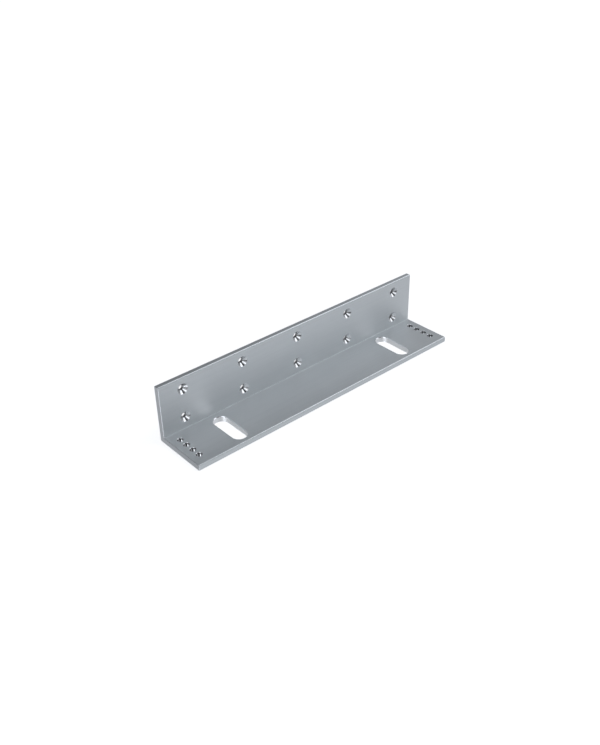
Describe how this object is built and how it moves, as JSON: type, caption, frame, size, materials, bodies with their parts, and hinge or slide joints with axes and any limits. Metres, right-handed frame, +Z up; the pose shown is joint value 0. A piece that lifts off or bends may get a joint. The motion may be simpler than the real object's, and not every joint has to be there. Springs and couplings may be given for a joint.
{
  "type": "magnetic lock mounting angle",
  "caption": "Plain aluminium mounting angle for an electromagnetic door lock, with countersunk holes in the upright flange and cross slots with small end holes in the lower flange.",
  "frame": {"origin": "middle of the underside: halfway along the length and halfway between the front edge and the back face", "axes": "+X along the length, +Y out of the upright flange's back face, +Z up, away from the underside"},
  "size_m": [0.268, 0.05, 0.05],
  "materials": {
    "satin_aluminium": "satin clear-anodised extrusion"
  },
  "bodies": {
    "root": {"angle_bracket": "satin_aluminium"}
  },
  "joints": []
}
